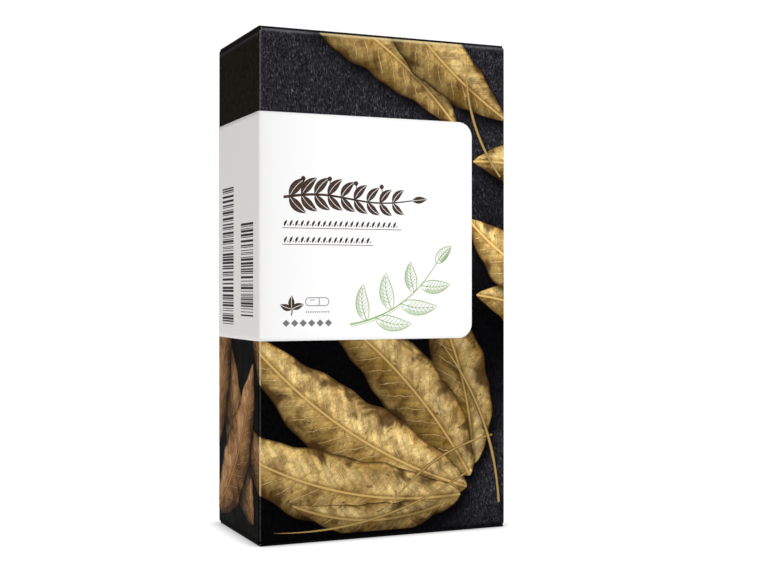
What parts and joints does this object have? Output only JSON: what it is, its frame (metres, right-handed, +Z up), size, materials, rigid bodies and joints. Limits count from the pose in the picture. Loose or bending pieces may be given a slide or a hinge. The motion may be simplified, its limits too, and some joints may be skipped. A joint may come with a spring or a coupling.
{
  "type": "folding carton of capsules",
  "caption": "Upright tuck-end carton of thin board with a hinged lid and bottom flap, holding blister strips of capsules and a folded leaflet.",
  "frame": {"origin": "middle of the carton's underside, on the bottom panel's outer face", "axes": "+Z up along the carton's height, +X along its width, the front panel faces -Y and the lid hinges at +Y"},
  "size_m": [0.072, 0.038, 0.135],
  "materials": {
    "printed_board": "satin",
    "plain_board": "matte",
    "label_print": "satin",
    "leaf_print": "satin",
    "brown_ink": "satin",
    "green_ink": "satin",
    "black_ink": "satin",
    "capsule": "gloss",
    "film": "gloss",
    "foil": "satin",
    "paper": "matte"
  },
  "bodies": {
    "carton": {"sleeve": "printed_board", "blister_1_tray": "capsule", "blister_1_foil": "foil", "blister_2_tray": "capsule", "blister_2_foil": "foil", "blister_3_tray": "capsule", "blister_3_foil": "foil", "blister_4_tray": "capsule", "blister_4_foil": "foil", "leaflet": "paper"},
    "top_lid": {"top_lid": "printed_board"},
    "top_tongue": {"top_tongue": "printed_board"},
    "top_dust_left": {"top_dust_left": "plain_board"},
    "top_dust_right": {"top_dust_right": "plain_board"},
    "bottom_panel": {"bottom_panel": "printed_board"},
    "bottom_tongue": {"bottom_tongue": "printed_board"},
    "bottom_dust_left": {"bottom_dust_left": "plain_board"},
    "bottom_dust_right": {"bottom_dust_right": "plain_board"}
  },
  "joints": [
    {"name": "top_lid_hinge", "type": "hinge", "parent": "carton", "child": "top_lid", "pos_m": [0, 0.019, 0.135], "axis": [-1, 0, 0], "range_deg": [0, 175]},
    {"name": "top_tongue_crease", "type": "hinge", "parent": "top_lid", "child": "top_tongue", "pos_m": [0, -0.01825, 0.135], "axis": [-1, 0, 0], "range_deg": [0, 43.75]},
    {"name": "top_dust_left_crease", "type": "hinge", "parent": "carton", "child": "top_dust_left", "pos_m": [-0.036, 0, 0.13425], "axis": [0, -1, 0], "range_deg": [0, 87.5]},
    {"name": "top_dust_right_crease", "type": "hinge", "parent": "carton", "child": "top_dust_right", "pos_m": [0.036, 0, 0.13425], "axis": [0, 1, 0], "range_deg": [0, 87.5]},
    {"name": "bottom_panel_hinge", "type": "hinge", "parent": "carton", "child": "bottom_panel", "pos_m": [0, -0.019, 0], "axis": [-1, 0, 0], "range_deg": [0, 175]},
    {"name": "bottom_tongue_crease", "type": "hinge", "parent": "bottom_panel", "child": "bottom_tongue", "pos_m": [0, 0.01825, 0], "axis": [-1, 0, 0], "range_deg": [0, 43.75]},
    {"name": "bottom_dust_left_crease", "type": "hinge", "parent": "carton", "child": "bottom_dust_left", "pos_m": [-0.036, 0, 0.00075], "axis": [0, 1, 0], "range_deg": [0, 87.5]},
    {"name": "bottom_dust_right_crease", "type": "hinge", "parent": "carton", "child": "bottom_dust_right", "pos_m": [0.036, 0, 0.00075], "axis": [0, -1, 0], "range_deg": [0, 87.5]}
  ],
  "couplings": [
    {"joint": "top_tongue_crease", "follows": "top_lid_hinge", "ratio": 0.25},
    {"joint": "top_dust_left_crease", "follows": "top_lid_hinge", "ratio": 0.5},
    {"joint": "top_dust_right_crease", "follows": "top_lid_hinge", "ratio": 0.5},
    {"joint": "bottom_tongue_crease", "follows": "bottom_panel_hinge", "ratio": 0.25},
    {"joint": "bottom_dust_left_crease", "follows": "bottom_panel_hinge", "ratio": 0.5},
    {"joint": "bottom_dust_right_crease", "follows": "bottom_panel_hinge", "ratio": 0.5}
  ]
}
